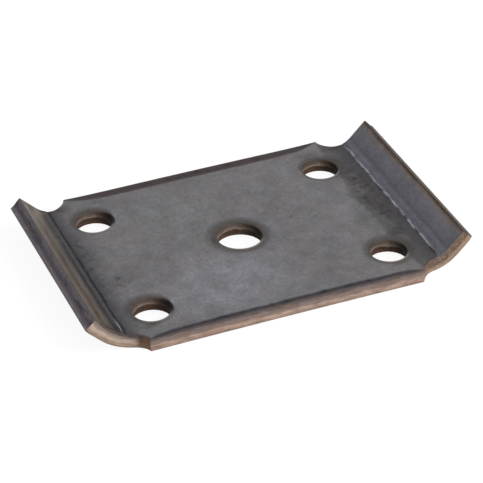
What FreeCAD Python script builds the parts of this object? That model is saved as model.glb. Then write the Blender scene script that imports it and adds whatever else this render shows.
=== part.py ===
# Axle tie plate: one pressed piece of hot-rolled steel strip.
#
# A flat plate with four U-bolt holes at its corners and a larger locating hole
# in the middle. Both short ends are bent up into short stiffening flanges, and
# each corner between plate and flange has a quarter-round relief notch.
#
# Millimetres, +Z up. The origin is under the middle of the plate, on its
# underside: +X runs from flange to flange, +Y across the strip, and the
# flanges rise towards +Z.

import FreeCAD, Part

import math
import os

from FreeCAD import Vector

# Strip
thickness = 5.5
strip_width = 95.2

# U-bolt holes, on a rectangle
bolt_spacing_x = 90.5
bolt_spacing_y = 60.3
bolt_hole_diameter = 13.5

# Corner notches, which start a little beyond the holes and reach into the bends
notch_beyond_bolts = 6.25
notch_radius = 5.8
notch_bend_overlap = 1.9

# Flanges
bend_inner_radius = 11.0
bend_angle = 45.0
flange_leg = 8.4
tip_outer_round = 0.8
tip_inner_round = 0.3

# Locating hole for the head of the spring's centre bolt
centre_hole_diameter = 16.5

# The punch set sat a little off the strip's centre line
punch_offset_y = -1.4

# Edge forms that punching, shearing and pressing leave
hole_rim_round = 0.5
breakout_depth = 2.8
breakout_width = 0.4
draw_in_width = 2.8
draw_in_depth = 0.4
crease_arc_length = 4.1
crease_width = 1.5
crease_depth = 0.25

# How far the cutting tools reach past the faces that they cut
overcut = 5.0

half_width = strip_width / 2
half_length = bolt_spacing_x / 2 + notch_beyond_bolts
notch_inner_y = half_width - notch_radius
notch_outer_x = half_length + notch_radius
bend_start = notch_outer_x - notch_bend_overlap
bend_centre = Vector(bend_start, 0, thickness + bend_inner_radius)
bend_outer_radius = bend_inner_radius + thickness


def bend_outward(angle):
    """Unit vector from the bend's centre to the strip at an angle of turn, in degrees."""
    turn = math.radians(angle)
    return Vector(math.sin(turn), 0, -math.cos(turn))


def bend_along(angle):
    """Unit vector along the strip, towards the tip, at an angle of turn, in degrees."""
    turn = math.radians(angle)
    return Vector(math.cos(turn), 0, math.sin(turn))


def bend_point(radius, angle):
    """Point of the right-hand bend at a radius and an angle of turn."""
    return bend_centre + bend_outward(angle) * radius


def mirrored(point):
    """The point's mirror image in the middle plane between the flanges."""
    return Vector(-point.x, point.y, point.z)


def corner_arc(corner, direction_in, direction_out, radius):
    """Start, middle and end points of an arc that rounds a square corner."""
    start = corner - direction_in * radius
    end = corner + direction_out * radius
    middle = start + direction_out * radius + (direction_in - direction_out) * (radius / math.sqrt(2))
    return start, middle, end


def right_half_edges():
    """Edges of the section's right half, from the underside's middle to the top's."""
    along = bend_along(bend_angle)
    inward = bend_outward(bend_angle) * -1
    outer_corner = bend_point(bend_outer_radius, bend_angle) + along * flange_leg
    inner_corner = bend_point(bend_inner_radius, bend_angle) + along * flange_leg
    outer_round = corner_arc(outer_corner, along, inward, tip_outer_round)
    inner_round = corner_arc(inner_corner, inward, along * -1, tip_inner_round)
    outer_bend = [bend_point(bend_outer_radius, angle) for angle in (0, bend_angle / 2, bend_angle)]
    inner_bend = [bend_point(bend_inner_radius, angle) for angle in (bend_angle, bend_angle / 2, 0)]
    return [
        ("line", [Vector(0, 0, 0), outer_bend[0]]),
        ("arc", outer_bend),
        ("line", [outer_bend[2], outer_round[0]]),
        ("arc", outer_round),
        ("line", [outer_round[2], inner_round[0]]),
        ("arc", inner_round),
        ("line", [inner_round[2], inner_bend[0]]),
        ("arc", inner_bend),
        ("line", [inner_bend[2], Vector(0, 0, thickness)]),
    ]


def make_edge(kind, points):
    """One straight or round edge through its points."""
    if kind == "arc":
        return Part.Arc(*points).toShape()
    return Part.LineSegment(*points).toShape()


def bent_strip():
    """The whole strip with both ends bent up, before anything is cut from it."""
    right = [make_edge(kind, points) for kind, points in right_half_edges()]
    left = [make_edge(kind, [mirrored(p) for p in points]) for kind, points in right_half_edges()]
    section = Part.Wire(Part.__sortEdges__(right + left))
    face = Part.Face(section)
    face.translate(Vector(0, -half_width, 0))
    return face.extrude(Vector(0, strip_width, 0))


def corner_relief(side_x, side_y):
    """Tool for one corner: the quarter-round notch and the strip's edge beside the flange."""
    top = thickness + bend_outer_radius + flange_leg + overcut
    reach_x = notch_outer_x + bend_outer_radius + flange_leg + thickness + overcut
    reach_y = half_width + overcut

    def at(x, y):
        return Vector(side_x * x, side_y * y, -overcut)

    arc_share = notch_radius / math.sqrt(2)
    notch_start = at(half_length, half_width)
    notch_middle = at(notch_outer_x - arc_share, half_width - arc_share)
    notch_end = at(notch_outer_x, notch_inner_y)
    edges = [
        Part.Arc(notch_start, notch_middle, notch_end).toShape(),
        Part.LineSegment(notch_end, at(reach_x, notch_inner_y)).toShape(),
        Part.LineSegment(at(reach_x, notch_inner_y), at(reach_x, reach_y)).toShape(),
        Part.LineSegment(at(reach_x, reach_y), at(half_length, reach_y)).toShape(),
        Part.LineSegment(at(half_length, reach_y), notch_start).toShape(),
    ]
    outline = Part.Face(Part.Wire(edges))
    return outline.extrude(Vector(0, 0, top + overcut))


def edge_draw_in(side_y):
    """Tool for a long top edge: a shallow slope, widest mid-length, that fades out at the notches."""
    plan_radius = (half_length ** 2 + draw_in_width ** 2) / (2 * draw_in_width)
    slope = draw_in_depth / draw_in_width
    centre_y = half_width - draw_in_width + plan_radius
    inner = plan_radius - draw_in_width - overcut
    outer = plan_radius + overcut
    high = thickness + overcut
    low_z = thickness - (plan_radius - inner) * slope
    rise_z = thickness + (outer - plan_radius) * slope
    profile = Part.makePolygon([
        Vector(inner, 0, low_z),
        Vector(outer, 0, rise_z),
        Vector(outer, 0, high),
        Vector(inner, 0, high),
        Vector(inner, 0, low_z),
    ])
    sweep = 2 * math.degrees(math.asin((half_length + overcut) / inner))
    ring = Part.Face(profile)
    ring.rotate(Vector(0, 0, 0), Vector(0, 0, 1), -90 - sweep / 2)
    tool = ring.revolve(Vector(0, 0, 0), Vector(0, 0, 1), sweep)
    tool.translate(Vector(0, centre_y, 0))
    if side_y < 0:
        tool.rotate(Vector(0, 0, 0), Vector(0, 0, 1), 180)
    return tool


def hole_tool(x, y, diameter):
    """Punched hole: a straight bore that breaks out wider towards the underside."""
    radius = diameter / 2
    spread = breakout_width / breakout_depth
    bore = Part.makeCylinder(radius, thickness + 2 * overcut, Vector(x, y, -overcut))
    wide_radius = radius + (breakout_depth + overcut) * spread
    breakout = Part.makeCone(wide_radius, radius, breakout_depth + overcut, Vector(x, y, -overcut))
    return bore.fuse(breakout)


def crease_groove(side_x):
    """Tool for the shallow line that the press tool leaves along the root of a flange."""
    turn = math.degrees(crease_arc_length / bend_inner_radius)
    radius = (crease_width ** 2 / 4 + crease_depth ** 2) / (2 * crease_depth)
    centre = bend_point(bend_inner_radius - (radius - crease_depth), turn)
    start = Vector(side_x * centre.x, -half_width - overcut, centre.z)
    return Part.makeCylinder(radius, strip_width + 2 * overcut, start, Vector(0, 1, 0))


def hole_positions():
    """Centre and diameter of each punched hole."""
    holes = [(0, punch_offset_y, centre_hole_diameter)]
    for side_x in (-1, 1):
        for side_y in (-1, 1):
            x = side_x * bolt_spacing_x / 2
            y = punch_offset_y + side_y * bolt_spacing_y / 2
            holes.append((x, y, bolt_hole_diameter))
    return holes


def rim_edges(plate):
    """The round edges where the holes meet the plate's top face."""
    rims = []
    for edge in plate.Edges:
        is_circle = isinstance(edge.Curve, Part.Circle) and edge.isClosed()
        if is_circle and math.isclose(edge.Curve.Center.z, thickness, abs_tol=1e-6):
            rims.append(edge)
    return rims


def tie_plate():
    """The finished plate."""
    plate = bent_strip()
    tools = [corner_relief(side_x, side_y) for side_x in (-1, 1) for side_y in (-1, 1)]
    tools += [edge_draw_in(side_y) for side_y in (-1, 1)]
    tools += [crease_groove(side_x) for side_x in (-1, 1)]
    tools += [hole_tool(x, y, diameter) for x, y, diameter in hole_positions()]
    for tool in tools:
        plate = plate.cut(tool)
    return plate.makeFillet(hole_rim_round, rim_edges(plate))


os.makedirs("parts", exist_ok=True)

plate = tie_plate()
box = plate.optimalBoundingBox(False)
print("tie_plate valid", plate.isValid(), "solids", len(plate.Solids), "volume", round(plate.Volume, 1))
print("box", round(box.XLength, 2), round(box.YLength, 2), round(box.ZLength, 2))
plate.exportStep("parts/tie_plate.step")
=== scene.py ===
"""Looks of an axle tie plate: one pressed plate of hot-rolled steel on a pale studio floor.

The plate is cut and punched flat in mesh code, as the press shop does it, and a
Geometry Nodes tree then presses the flat blank into shape. Lengths are in
millimetres until a mesh is written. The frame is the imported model's: +X from
flange to flange, +Y across the strip, +Z up, and the underside at Z 0.
"""

import logging
import math
from dataclasses import dataclass, field
from enum import IntEnum
from typing import ClassVar

import bpy
import numpy as np
from mathutils import Matrix, Vector
from mathutils.geometry import delaunay_2d_cdt


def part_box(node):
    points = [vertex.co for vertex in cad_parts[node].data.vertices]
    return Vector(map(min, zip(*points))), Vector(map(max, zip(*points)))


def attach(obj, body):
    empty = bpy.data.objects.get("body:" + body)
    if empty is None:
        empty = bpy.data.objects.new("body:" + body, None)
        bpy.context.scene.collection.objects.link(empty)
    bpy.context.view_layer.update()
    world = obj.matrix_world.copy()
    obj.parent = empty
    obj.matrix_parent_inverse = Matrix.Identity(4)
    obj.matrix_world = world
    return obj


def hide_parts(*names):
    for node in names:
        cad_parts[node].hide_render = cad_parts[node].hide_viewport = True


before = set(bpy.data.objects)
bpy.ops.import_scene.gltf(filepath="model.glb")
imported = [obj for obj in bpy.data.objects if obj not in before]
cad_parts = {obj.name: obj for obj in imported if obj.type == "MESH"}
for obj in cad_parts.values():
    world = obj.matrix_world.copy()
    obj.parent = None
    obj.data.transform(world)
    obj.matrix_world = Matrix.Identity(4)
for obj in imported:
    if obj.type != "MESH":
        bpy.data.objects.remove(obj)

LOG = logging.getLogger("tie_plate")
MM = 0.001
NODE = "tie_plate"
BODY = "root"

# Where the Mix node keeps its colour sockets
MIX_FACTOR, MIX_UNDER, MIX_OVER, MIX_RESULT = 0, 6, 7, 2

# How far past the start of a long edge's slope places lie that are nowhere near one
ON_FLAT = -9.0

# The attributes of the blank's points, as they are where nothing else is said
UNTOUCHED = {"edge_gap": 10.0, "hole_gap": 10.0, "cut_depth": 0.0, "press_mark": 0.0, "wear_and_sheen": 0.0,
             "soot": 0.0, "drawn": ON_FLAT, "skin": 0.0, "tear": 0.0}
VECTORS = ("blank", "skin", "tear", "hole_side")

Tree = bpy.types.NodeTree
Socket = bpy.types.NodeSocket
Values = dict[str, Socket]
Bands = tuple[tuple[float, str], ...]


def linear(hex_colour: str) -> tuple[float, float, float, float]:
    """Turns an sRGB hex colour into the linear one that Blender works in.

    Args:
        hex_colour: six hex digits after a hash sign, such as "#7a7a80".

    Returns:
        The linear red, green and blue, and an alpha of 1.
    """
    shares = [int(hex_colour[i:i + 2], 16) / 255 for i in (1, 3, 5)]
    values = [c / 12.92 if c <= 0.04045 else ((c + 0.055) / 1.055) ** 2.4 for c in shares]
    return (*values, 1.0)


def add_node(tree: Tree, kind: str, links: dict | None = None,
             output: int | str = 0, **settings: object) -> Socket:
    """Adds one node with its settings and its inputs.

    Args:
        tree: the node tree that gets the node.
        kind: the node's type name.
        links: for each input, by name or number, the socket or plain value that it gets.
        output: the name or number of the output to hand back.
        settings: the node's own settings.

    Returns:
        The chosen output of the new node.
    """
    node = tree.nodes.new(kind)
    for name, value in settings.items():
        setattr(node, name, value)
    for key, value in (links or {}).items():
        if isinstance(value, Socket):
            tree.links.new(value, node.inputs[key])
        else:
            node.inputs[key].default_value = value
    return node.outputs[output]


def add_steps(tree: Tree, values: Values, steps: list[tuple]) -> Values:
    """Adds a row of Math nodes that work out one named value after another.

    A value whose name ends in _part is kept between 0 and 1.

    Args:
        tree: the node tree that gets the nodes.
        values: the sockets that the steps may name, which the new ones join.
        steps: for each value its name, its operation, and its inputs as names or numbers.

    Returns:
        The same dictionary of named sockets.
    """
    for name, operation, *inputs in steps:
        links = {i: values[x] if isinstance(x, str) else x for i, x in enumerate(inputs)}
        values[name] = add_node(tree, "ShaderNodeMath", links, operation=operation,
                                use_clamp=name.endswith("_part"))
    return values


def add_object(name: str, data: bpy.types.ID) -> bpy.types.Object:
    """Puts something into the scene as an object.

    Args:
        name: the object's name.
        data: its mesh, lamp or camera.

    Returns:
        The object.
    """
    made = bpy.data.objects.new(name, data)
    bpy.context.scene.collection.objects.link(made)
    return made


def add_material(name: str) -> tuple[bpy.types.Material, Tree]:
    """Makes a material whose node tree is still empty.

    Args:
        name: the material's name.

    Returns:
        The material and its node tree.
    """
    made = bpy.data.materials.new(name)
    made.use_nodes = True
    made.node_tree.nodes.clear()
    return made, made.node_tree


class Zone(IntEnum):
    """The parts of the plate's skin that get finishes of their own."""

    ROLLED = 0
    SHEARED = 1
    PUNCHED = 2


def rounded_corner(x: float, y: float, radius: float) -> list[tuple[float, float]]:
    """Rounds off an outer corner of the blank's first quarter.

    Args:
        x: the corner's place along the strip.
        y: the corner's place across the strip.
        radius: the radius of the rounding.

    Returns:
        Points from the edge along the strip to the edge across it.
    """
    turns = np.linspace(0, math.pi / 2, 6)
    return [(x - radius * (1 - math.sin(turn)), y - radius * (1 - math.cos(turn))) for turn in turns]


@dataclass(frozen=True)
class Notch:
    """Plan of one corner's relief notch, measured on the flat blank, in millimetres."""

    side_x: int
    side_y: int
    start_x: float
    outer_x: float
    inner_y: float
    flatness: float
    corner_round: float = 0.35
    tip_round: float = 0.3

    def path(self, half_width: float, half_length: float) -> list[tuple[float, float]]:
        """Outline of the blank's quarter that holds this notch.

        Args:
            half_width: half the strip's width.
            half_length: half the blank's length, along the unrolled strip.

        Returns:
            Points from the middle of the long edge to the middle of the end.
        """
        reach_x = self.outer_x - self.start_x
        reach_y = half_width - self.inner_y
        points = [(0.0, half_width)] + rounded_corner(self.start_x, half_width, self.corner_round)
        first_turn = math.asin(self.corner_round / reach_y)
        for turn in np.linspace(first_turn, math.pi / 2, 20)[1:]:
            points.append((self.outer_x - reach_x * abs(math.cos(turn)) ** self.flatness,
                           half_width - reach_y * math.sin(turn) ** self.flatness))
        points += rounded_corner(half_length, self.inner_y, self.tip_round) + [(half_length, 0.0)]
        return [(self.side_x * x, self.side_y * y) for x, y in points]


@dataclass(frozen=True)
class Hole:
    """One punched hole of the blank, and the soot of burnt oil round it, in millimetres."""

    x: float
    y: float
    radius: float
    soot_reach: float
    soot_lean: tuple[float, float]

    def gap(self, x: np.ndarray, y: np.ndarray) -> np.ndarray:
        """Distance of places from the rim, outwards."""
        return np.hypot(x - self.x, y - self.y) - self.radius

    def soot(self, x: np.ndarray, y: np.ndarray) -> np.ndarray:
        """How sooty the skin is round the hole: 1 at the rim and 0 past the soot's reach.

        Args:
            x: places along the strip.
            y: places across the strip.

        Returns:
            The share at each place.
        """
        distance = np.hypot(x - self.x, y - self.y)
        lean = ((x - self.x) * self.soot_lean[0] + (y - self.y) * self.soot_lean[1]) / distance
        return np.clip(1 - self.gap(x, y) / (self.soot_reach + lean), 0, 1)


@dataclass(frozen=True)
class DrawIn:
    """How the top sinks to one sheared long edge: width and depth at mid-length, in millimetres."""

    width: float
    depth: float
    flatness: float


@dataclass(frozen=True)
class PressLine:
    """A line that the press tool leaves along a flange's root, in millimetres on the blank."""

    side: int
    run: float
    width: float
    rise: float
    first_y: float = -60.0
    last_y: float = 60.0
    fade: float = 8.0
    # How the lines of a side wander: the right side's slant, then each wave's height, rate and phase
    right_slant: ClassVar[float] = 0.009
    waves: ClassVar[tuple[tuple[float, float, int], ...]] = ((0.12, 0.41, 1), (0.07, 1.3, 2))

    @classmethod
    def drift(cls, side: np.ndarray | int, y: np.ndarray) -> np.ndarray:
        """How far a side's lines wander outwards.

        Args:
            side: -1 for the left side and 1 for the right one.
            y: places across the strip.

        Returns:
            The distance at each place.
        """
        slant = np.where(side > 0, cls.right_slant, 0.0)
        waves = (height * np.sin(rate * y + phase * side) for height, rate, phase in cls.waves)
        return sum(waves, slant * y)

    def share(self, x: np.ndarray, y: np.ndarray) -> np.ndarray:
        """How strong the line is: 1 along its middle, and 0 away from it and past its ends.

        Args:
            x: places along the strip.
            y: places across the strip.

        Returns:
            The share at each place.
        """
        away = (self.side * x - self.run - self.drift(self.side, y)) / self.width
        first, last = [np.clip(run / self.fade, 0, 1) for run in (y - self.first_y, self.last_y - y)]
        return np.exp(-away ** 2) * (first * last)


def resampled(points: list[tuple[float, float]], step: float) -> np.ndarray:
    """Puts more points on a closed outline, so that no stretch is longer than a step.

    Args:
        points: the outline's corners in order.
        step: the longest stretch wanted.

    Returns:
        The outline's points, one row each.
    """
    out = []
    for start, end in zip(points, points[1:] + points[:1]):
        start, end = np.array(start), np.array(end)
        length = float(np.linalg.norm(end - start))
        if length < 1e-6:
            continue
        parts = max(1, math.ceil(length / step))
        out += [start + (end - start) * i / parts for i in range(parts)]
    return np.array(out)


def inward_normals(loop: np.ndarray) -> np.ndarray:
    """Unit vectors that point to the left of a closed loop, which is into the steel.

    Args:
        loop: the loop's points, counter-clockwise round steel and clockwise round a hole.

    Returns:
        One vector for each point.
    """
    before = loop - np.roll(loop, 1, axis=0)
    after = np.roll(loop, -1, axis=0) - loop
    before /= np.linalg.norm(before, axis=1)[:, None]
    after /= np.linalg.norm(after, axis=1)[:, None]
    along = before + after
    along /= np.linalg.norm(along, axis=1)[:, None]
    return np.stack([-along[:, 1], along[:, 0]], axis=1)


def gap_to_loop(points: np.ndarray, loop: np.ndarray) -> np.ndarray:
    """Distance from each point to the nearest place on a closed loop.

    Args:
        points: the points to measure from.
        loop: the loop's points in order.

    Returns:
        One distance for each point.
    """
    stretch = np.roll(loop, -1, axis=0) - loop
    squared = (stretch ** 2).sum(axis=1)
    gaps = []
    for chunk in np.array_split(points, max(1, len(points) // 1500)):
        offset = chunk[:, None, :] - loop[None, :, :]
        share = np.clip((offset * stretch).sum(axis=2) / squared, 0, 1)
        nearest = offset - share[:, :, None] * stretch
        gaps.append(np.sqrt((nearest ** 2).sum(axis=2)).min(axis=1))
    return np.concatenate(gaps)


def is_inside(points: np.ndarray, loop: np.ndarray) -> np.ndarray:
    """Tells which points lie inside a loop, by counting the crossings of a ray.

    Args:
        points: the points to test.
        loop: the loop's points in order.

    Returns:
        True for each point inside.
    """
    crossings = np.zeros(len(points), int)
    for (x0, y0), (x1, y1) in zip(loop, np.roll(loop, -1, axis=0)):
        spans = (points[:, 1] >= min(y0, y1)) & (points[:, 1] < max(y0, y1))
        if y0 == y1:
            continue
        meet = x0 + (points[:, 1] - y0) * (x1 - x0) / (y1 - y0)
        crossings += spans & (meet > points[:, 0])
    return crossings % 2 == 1


def rounding(gap: np.ndarray, radius: np.ndarray | float) -> np.ndarray:
    """Drop of a face towards an edge with a radius.

    Args:
        gap: distances from the edge.
        radius: the edge's radius.

    Returns:
        The drop at each place.
    """
    inside = np.clip(radius - gap, 0, radius)
    return radius - np.sqrt(np.clip(radius ** 2 - inside ** 2, 0, None))


@dataclass
class FlatMesh:
    """The flat blank's mesh in the making: points with attributes, and faces with zones."""

    points: list[np.ndarray] = field(default_factory=list)
    attributes: dict[str, list[np.ndarray]] = field(default_factory=dict)
    faces: list[tuple[int, ...]] = field(default_factory=list)
    zones: list[int] = field(default_factory=list)

    def add_points(self, points: np.ndarray, attributes: dict[str, np.ndarray | float]) -> np.ndarray:
        """Adds points with their attributes.

        Args:
            points: the points, one row each.
            attributes: those that are not as on an untouched place, with one value for all the
                points or one for each.

        Returns:
            The points' numbers in the mesh.
        """
        start = sum(len(row) for row in self.points)
        self.points.append(points)
        for name, value in {**UNTOUCHED, **attributes, "blank": points}.items():
            shape = points.shape if name in VECTORS else len(points)
            self.attributes.setdefault(name, []).append(np.broadcast_to(value, shape))
        return np.arange(start, start + len(points))

    def add_faces(self, faces: list[tuple[int, ...]], zone: Zone) -> None:
        """Adds faces of one zone."""
        self.faces += faces
        self.zones += [int(zone)] * len(faces)

    def made(self, name: str) -> bpy.types.Object:
        """Turns what was gathered into an object.

        Args:
            name: the object's name.

        Returns:
            The object.
        """
        mesh = bpy.data.meshes.new(name)
        places = (np.concatenate(self.points) * MM).tolist()
        mesh.from_pydata(places, [], [tuple(int(i) for i in face) for face in self.faces])
        mesh.polygons.foreach_set("use_smooth", [True] * len(mesh.polygons))
        for attribute, rows in self.attributes.items():
            values = np.concatenate(rows).astype(np.float32)
            kind, part = ("FLOAT", "value") if values.ndim == 1 else ("FLOAT_VECTOR", "vector")
            store = mesh.attributes.new(attribute, kind, "POINT")
            store.data.foreach_set(part, values.ravel())
        store = mesh.attributes.new("zone", "INT", "FACE")
        store.data.foreach_set("value", self.zones)
        mesh.validate()
        return add_object(name, mesh)


@dataclass
class TiePlate:
    """The pressed plate: its sizes in millimetres, its flat blank and its pressing."""

    thickness: float = 5.5
    bolt_spacing_x: float = 90.5
    bolt_spacing_y: float = 60.3
    bolt_radius: float = 6.75
    centre_radius: float = 8.25
    punch_offset_y: float = -1.4
    half_long_edge: float = 51.5
    bend_start: float = 55.4
    bend_radius: float = 11.0
    bend_angle: float = 45.0
    flange_leg: float = 8.4
    camber: float = 0.3
    # Radii where the faces meet their edges. The tips' sets in a little before the end, and eases in
    edge_round: float = 0.3
    burr_round: float = 0.12
    tip_round: float = 0.8
    tip_zone: float = 2.0
    tip_ease: float = 1.2
    rim_round: float = 0.5
    rim_sink: float = 0.1
    rim_sink_reach: float = 0.8
    front_edge: DrawIn = DrawIn(2.3, 0.38, 12.0)
    back_edge: DrawIn = DrawIn(5.0, 0.42, 8.0)
    draw_in_soft: float = 0.12
    # The cut walls, with the places on them as shares of their depth
    breakout: float = 0.4
    breakout_start: float = 0.49
    ridge_height: float = 0.07
    ridge_place: float = 0.37
    ridge_spread: float = 0.07
    fracture_inset: float = 0.22
    fracture_start: float = 0.5
    fracture_ease: float = 0.2
    fracture_end: float = 1.1
    fracture_gain: float = 1.2
    # The tear's roughness: its share on a smooth cut, how deep that cut goes, how fast it sets in
    smooth_tear: float = 0.35
    smooth_depth: float = 0.35
    tear_rate: float = 4.0
    # Heights of the press lines, of the rolled skin's waves, which fade at edges, and of the tear
    line_depth: float = 0.2
    relief_height: float = 0.09
    relief_fade: float = 0.8
    tear_depth: float = 0.16
    relief_seed: float = 4.0
    # Press lines that rise by more than this are worn pale, partly as a painted highlight along the raised
    # lip, and the power widens their middles
    wear_and_sheen_rise: float = 0.5
    wear_and_sheen_power: float = 0.6
    under_soot: float = 0.5
    # The mesh: the steps between its points, and the rings of points beside every edge
    outline_step: float = 0.6
    grid_step: float = 0.85
    line_step: float = 0.2
    line_zone: tuple[float, float] = (58.2, 64.4)
    wall_rows: int = 18
    ring_gaps: tuple[float, ...] = (0.05, 0.14, 0.3, 0.52, 0.85, 1.3)
    # Shares of a ring's gap that its points keep to other edges and are thinned to, of the grid's
    # step that it stays off the rings, and of a hole's radius that a triangle's middle may reach in
    ring_keep: float = 0.985
    ring_cell: float = 0.3
    grid_clear: float = 0.45
    hole_slack: float = 0.005
    notches: tuple[Notch, ...] = (
        Notch(1, -1, 51.8, 56.6, 42.9, 1.55),
        Notch(1, 1, 51.7, 61.5, 40.6, 1.03),
        Notch(-1, 1, 50.9, 58.6, 41.6, 1.18),
        Notch(-1, -1, 51.7, 62.6, 41.6, 1.12),
    )
    centre_soot: tuple[float, tuple[float, float]] = (4.6, (-0.6, 0.0))
    # The soot's reach and lean at each U-bolt hole, after the hole's sides along and across
    bolt_soot: tuple[tuple[int, int, float, tuple[float, float]], ...] = (
        (-1, -1, 2.9, (-1.0, 0.6)),
        (-1, 1, 2.3, (-0.2, 1.6)),
        (1, -1, 3.3, (0.4, 0.6)),
        (1, 1, 2.9, (1.0, 0.4)),
    )
    press_lines: tuple[PressLine, ...] = (
        PressLine(-1, 58.95, 0.5, -1.0, first_y=-48),
        PressLine(-1, 60.45, 0.45, 0.3),
        PressLine(-1, 61.7, 0.5, -0.9, last_y=34, fade=14),
        PressLine(-1, 58.1, 0.35, -0.5, first_y=-50, last_y=-30),
        PressLine(1, 59.35, 0.4, -0.8),
        PressLine(1, 60.0, 0.28, 0.7, first_y=-44, last_y=40),
        PressLine(1, 61.5, 0.35, -0.25),
        PressLine(1, 63.7, 0.4, -0.3),
    )

    def __post_init__(self) -> None:
        """Works out what follows from the driving sizes."""
        lowest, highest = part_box(NODE)
        self.half_width = (highest.y - lowest.y) / 2 / MM
        arc = self.bend_radius * math.radians(self.bend_angle)
        self.half_blank = self.bend_start + arc + self.flange_leg
        self.holes = [Hole(0, self.punch_offset_y, self.centre_radius, *self.centre_soot)]
        for side_x, side_y, reach, lean in self.bolt_soot:
            self.holes.append(Hole(side_x * self.bolt_spacing_x / 2,
                                   self.punch_offset_y + side_y * self.bolt_spacing_y / 2,
                                   self.bolt_radius, reach, lean))

    def outline(self) -> np.ndarray:
        """The blank's outline.

        Returns:
            The outline's points, counter-clockwise, one row each.
        """
        points = []
        for i, notch in enumerate(self.notches):
            path = notch.path(self.half_width, self.half_blank)
            points += path[:-1] if i % 2 == 0 else path[:0:-1]
        return resampled(points, self.outline_step)

    def rim(self, hole: Hole) -> np.ndarray:
        """The rim of a hole, clockwise.

        Args:
            hole: the hole.

        Returns:
            The rim's points, one row each.
        """
        count = 8 * math.ceil(2 * math.pi * hole.radius / self.outline_step / 8)
        turns = -np.arange(count) * 2 * math.pi / count
        return np.stack([hole.x + hole.radius * np.cos(turns),
                         hole.y + hole.radius * np.sin(turns)], axis=1)

    def grid(self) -> np.ndarray:
        """Points all over the blank, closer together along the press lines.

        Returns:
            The points, one row each.
        """
        first, last = self.line_zone
        coarse = np.arange(0, self.half_blank, self.grid_step)
        near = (coarse > first - self.grid_step / 2) & (coarse < last + self.grid_step / 2)
        coarse = coarse[~near]
        fine = np.arange(first, last + 1e-6, self.line_step)
        half = np.concatenate([coarse, fine])
        x_lines = np.unique(np.round(np.concatenate([-half, half]), 4))
        y_lines = np.arange(-self.half_width, self.half_width, self.grid_step)
        x, y = np.meshgrid(x_lines, y_lines)
        along = (abs(x) > first - self.line_step) & (abs(x) < last + self.line_step)
        x = x + np.where(along, np.sign(x) * PressLine.drift(np.sign(x), y), 0)
        return np.stack([x.ravel(), y.ravel()], axis=1)

    def past_draw_in(self, x: np.ndarray, y: np.ndarray) -> np.ndarray:
        """How far places lie past the line where the top starts to sink to a long edge.

        Args:
            x: places along the strip.
            y: places across the strip.

        Returns:
            The distance at each place, which is below zero on the flat face.
        """
        share = np.clip(abs(x) / self.half_long_edge, 0, 1)
        front, back = [edge.width * (1 - share ** edge.flatness)
                       for edge in (self.front_edge, self.back_edge)]
        sunk_from = self.half_width - np.where(y < 0, front, back)
        return np.where(abs(x) < self.half_long_edge, abs(y) - sunk_from, ON_FLAT)

    def draw_in(self, x: np.ndarray, y: np.ndarray) -> np.ndarray:
        """How far the top sinks towards a sheared long edge, widest mid-length.

        Args:
            x: places along the strip.
            y: places across the strip.

        Returns:
            The depth at each place.
        """
        past, soft = self.past_draw_in(x, y), self.draw_in_soft
        front, back = [edge.depth / edge.width for edge in (self.front_edge, self.back_edge)]
        eased = np.where(past > soft, past, np.clip(past + soft, 0, None) ** 2 / (4 * soft))
        return np.where(y < 0, front, back) * eased

    def hole_side(self, points: np.ndarray) -> np.ndarray:
        """Level unit vectors from the middle of the nearest hole to each point.

        Args:
            points: the points, one row each.

        Returns:
            One vector for each point.
        """
        nearest = np.argmin([hole.gap(points[:, 0], points[:, 1]) for hole in self.holes], axis=0)
        middles = np.array([(hole.x, hole.y) for hole in self.holes])[nearest]
        side = np.zeros_like(points)
        side[:, :2] = points[:, :2] - middles
        return side / np.linalg.norm(side, axis=1)[:, None]

    def plan(self, loops: list[np.ndarray]) -> tuple[np.ndarray, np.ndarray]:
        """Lays out the points of the blank's plan.

        Args:
            loops: the outline and the rims of the holes.

        Returns:
            The points, with the loops' first, and the unit vector away from the edge for those
            near one, which is zero for the others.
        """
        normals = [inward_normals(loop) for loop in loops]
        plan, inward = list(loops), list(normals)
        for gap in self.ring_gaps:
            for loop, normal in zip(loops, normals):
                ring = loop + normal * gap
                keep = gap_to_loop(ring, loops[0]) > gap * self.ring_keep
                cells = np.round(ring / (gap * self.ring_cell)).astype(int)
                first = np.zeros(len(ring), bool)
                first[np.unique(cells, axis=0, return_index=True)[1]] = True
                plan.append(ring[keep & first])
                inward.append(normal[keep & first])
        clear = self.ring_gaps[-1] + self.grid_step * self.grid_clear
        inner = self.grid()
        inner = inner[is_inside(inner, loops[0])]
        inner = inner[gap_to_loop(inner, loops[0]) > clear]
        for hole in self.holes:
            inner = inner[hole.gap(inner[:, 0], inner[:, 1]) > clear]
        return np.concatenate(plan + [inner]), np.concatenate(inward + [np.zeros_like(inner)])

    def triangulated(self, plan: np.ndarray,
                     sizes: list[int]) -> tuple[np.ndarray, list[np.ndarray], np.ndarray]:
        """Joins the plan's points into triangles, and leaves out points that lie on others.

        Args:
            plan: every point of the plan, with the loops' first.
            sizes: how many points each loop has.

        Returns:
            The numbers of the points that stay, and then, by the new numbers, the loops and the
            triangles that are steel.
        """
        loops, edges, start = [], [], 0
        for size in sizes:
            loops.append(range(start, start + size))
            edges += [(i, i + 1) for i in loops[-1][:-1]] + [(loops[-1][-1], start)]
            start += size
        result = delaunay_2d_cdt([Vector(p) for p in plan], edges, [], 0, 1e-5, True)
        corners, triangles, sources = result[0], np.array(result[2]), result[3]
        middles = np.array(corners)[triangles].mean(axis=1)
        steel = is_inside(middles, plan[:sizes[0]])
        for hole in self.holes:
            steel &= hole.gap(middles[:, 0], middles[:, 1]) > -hole.radius * self.hole_slack
        LOG.info("plan has %d points and %d triangles", len(corners), steel.sum())
        new_number = {old: new for new, olds in enumerate(sources) for old in olds}
        kept = np.array([olds[0] for olds in sources])
        return kept, [np.array([new_number[i] for i in loop]) for loop in loops], triangles[steel]

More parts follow.
